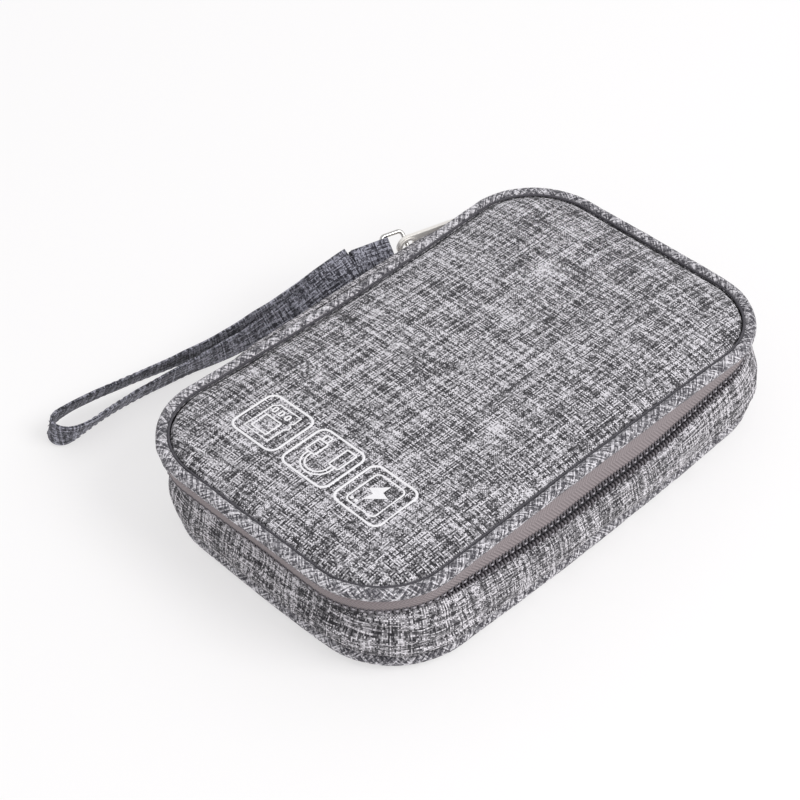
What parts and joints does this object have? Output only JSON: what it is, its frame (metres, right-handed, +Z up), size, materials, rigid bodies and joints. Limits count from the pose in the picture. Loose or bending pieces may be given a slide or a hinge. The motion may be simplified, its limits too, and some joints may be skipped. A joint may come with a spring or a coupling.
{
  "type": "cable organizer pouch",
  "caption": "Soft book-style cable organizer pouch: crowned piped lid, three-sided coil zipper with slider and flat pull, padded tray with elastic loops, mesh pockets, wrist strap.",
  "frame": {"origin": "middle of the resting face on the pouch's centre lines", "axes": "+X across the pouch away from the spine, +Y along it away from the printed frames, +Z up through the lid"},
  "size_m": [0.1607, 0.1884, 0.0369],
  "materials": {
    "heather_fabric": "two-tone heather polyester canvas, plain weave",
    "foam": "closed-cell padding sheet",
    "lining": "woven nylon lining",
    "piping": "bias-cut heather canvas over a cord",
    "zip_tape": "woven polyester zipper tape",
    "zip_coil": "extruded nylon coil",
    "thread": "polyester sewing thread",
    "elastic": "woven elastic",
    "mesh": "knitted nylon mesh",
    "print": "screen-printed white ink",
    "gunmetal": "die-cast zinc, dark plating",
    "satin_nickel": "die-cast zinc, satin nickel plating",
    "bright_nickel": "bent wire, bright nickel plating",
    "strap_fabric": "folded and edge-stitched canvas"
  },
  "bodies": {
    "tray": {"base_panel": "heather_fabric", "base_foam": "foam", "base_lining": "lining", "base_piping": "piping", "tray_gusset": "heather_fabric", "tray_wall_lining": "lining", "lower_zip_tape": "zip_tape", "lower_zip_coil": "zip_coil", "spine_panel": "heather_fabric", "spine_foam": "foam", "spine_lining": "lining", "bar_tacks": "thread", "elastic_loops": "elastic", "tray_mesh_pocket": "mesh", "tray_pocket_binding": "elastic"},
    "lid": {"lid_panel": "heather_fabric", "lid_foam": "foam", "lid_lining": "lining", "lid_piping": "piping", "upper_zip_tape": "zip_tape", "upper_zip_coil": "zip_coil", "lid_mesh_pocket": "mesh", "lid_pocket_binding": "elastic", "printed_icons": "print"},
    "slider": {"slider_body": "gunmetal", "slider_bridge": "gunmetal"},
    "pull": {"pull_tab": "satin_nickel"},
    "strap": {"strap_ring": "bright_nickel", "strap_end": "strap_fabric", "wrist_strap": "strap_fabric"}
  },
  "joints": [
    {"name": "lid_open", "type": "hinge", "parent": "tray", "child": "lid", "pos_m": [-0.0565, 0, 0.0345], "axis": [0, -1, 0], "range_deg": [0, 180]},
    {"name": "slider_run", "type": "hinge", "parent": "tray", "child": "slider", "pos_m": [-0.028, 0.064, 0.026], "axis": [0, 0, -1], "range_deg": [0, 90]},
    {"name": "pull_swing", "type": "hinge", "parent": "slider", "child": "pull", "pos_m": [-0.0588, 0.064, 0.026], "axis": [0, 0, -1], "range_deg": [-2, 110]},
    {"name": "ring_swing", "type": "hinge", "parent": "pull", "child": "strap", "pos_m": [-0.06465, 0.03867, 0.026], "axis": [0, 0, -1], "range_deg": [-5, 25]}
  ]
}
